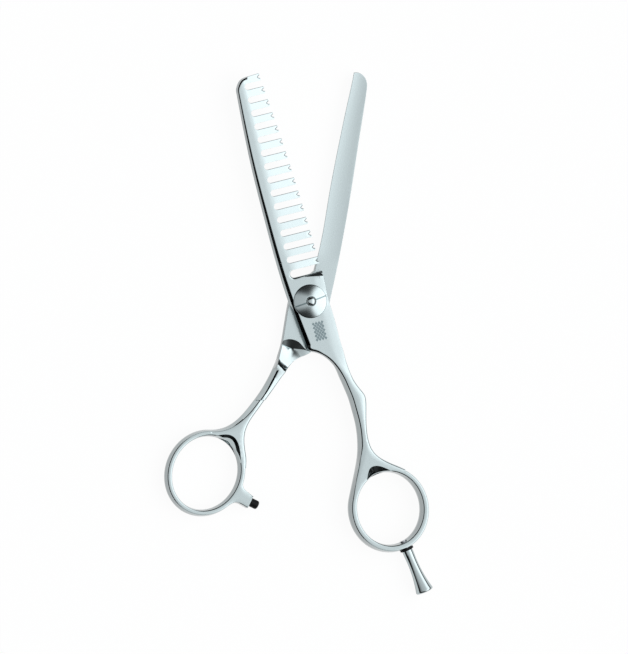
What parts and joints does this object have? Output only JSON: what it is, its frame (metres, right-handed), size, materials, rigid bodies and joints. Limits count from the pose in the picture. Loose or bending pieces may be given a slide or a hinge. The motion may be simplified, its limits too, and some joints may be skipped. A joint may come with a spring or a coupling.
{
  "type": "hairdressing thinning shears",
  "caption": "Thinning shears: a toothed blade and a plain blade on a ball-bearing pivot with a disc screw, two finger rings, a rubber stop and a finger rest.",
  "frame": {"origin": "on the pivot axis, in the back face of the pivot nut, the plane that the shears lie on", "axes": "+Z along the pivot axis towards the screw head, +Y towards the blade tips, +X towards the finger ring side"},
  "size_m": [0.0831, 0.1593, 0.0078],
  "materials": {
    "polished_steel": "mirror polished, the inner face of the plain blade satin ground",
    "spun_steel": "turned and polished, faint circular marks",
    "bearing_steel": "ground",
    "bronze": "machined",
    "polymer": "smooth",
    "black_rubber": "matt"
  },
  "bodies": {
    "comb_body": {"comb_half": "polished_steel", "pivot_bush": "bronze", "lower_race": "bearing_steel", "rest_washer": "black_rubber"},
    "straight_body": {"straight_half": "polished_steel", "pivot_nut": "spun_steel", "glide_washer": "polymer", "stop_bumper": "black_rubber", "bumper_core": "bearing_steel"},
    "screw_body": {"pivot_screw": "spun_steel", "centre_cap": "polished_steel", "upper_race": "bearing_steel", "tension_spring": "bearing_steel"},
    "bearing_body": {"ball_cage": "bronze", "bearing_balls": "bearing_steel"},
    "rest_body": {"finger_rest": "polished_steel", "rest_stud": "bearing_steel"}
  },
  "joints": [
    {"name": "blade_pivot", "type": "hinge", "parent": "comb_body", "child": "straight_body", "pos_m": [0, 0, 0.0029], "axis": [0, 0, 1], "range_deg": [-60, 25.2]},
    {"name": "tension_turn", "type": "hinge", "parent": "straight_body", "child": "screw_body", "pos_m": [0, 0, 0.0029], "axis": [0, 0, 1], "range_deg": [-45, 45]},
    {"name": "bearing_roll", "type": "hinge", "parent": "comb_body", "child": "bearing_body", "pos_m": [0, 0, 0.0029], "axis": [0, 0, 1], "range_deg": [-30.5, 13]},
    {"name": "finger_rest_out", "type": "slide", "parent": "comb_body", "child": "rest_body", "axis": [0.4019, -0.9157, 0], "range_m": [0, 0.008]}
  ],
  "couplings": [
    {"joint": "bearing_roll", "follows": "blade_pivot", "ratio": 0.5}
  ]
}
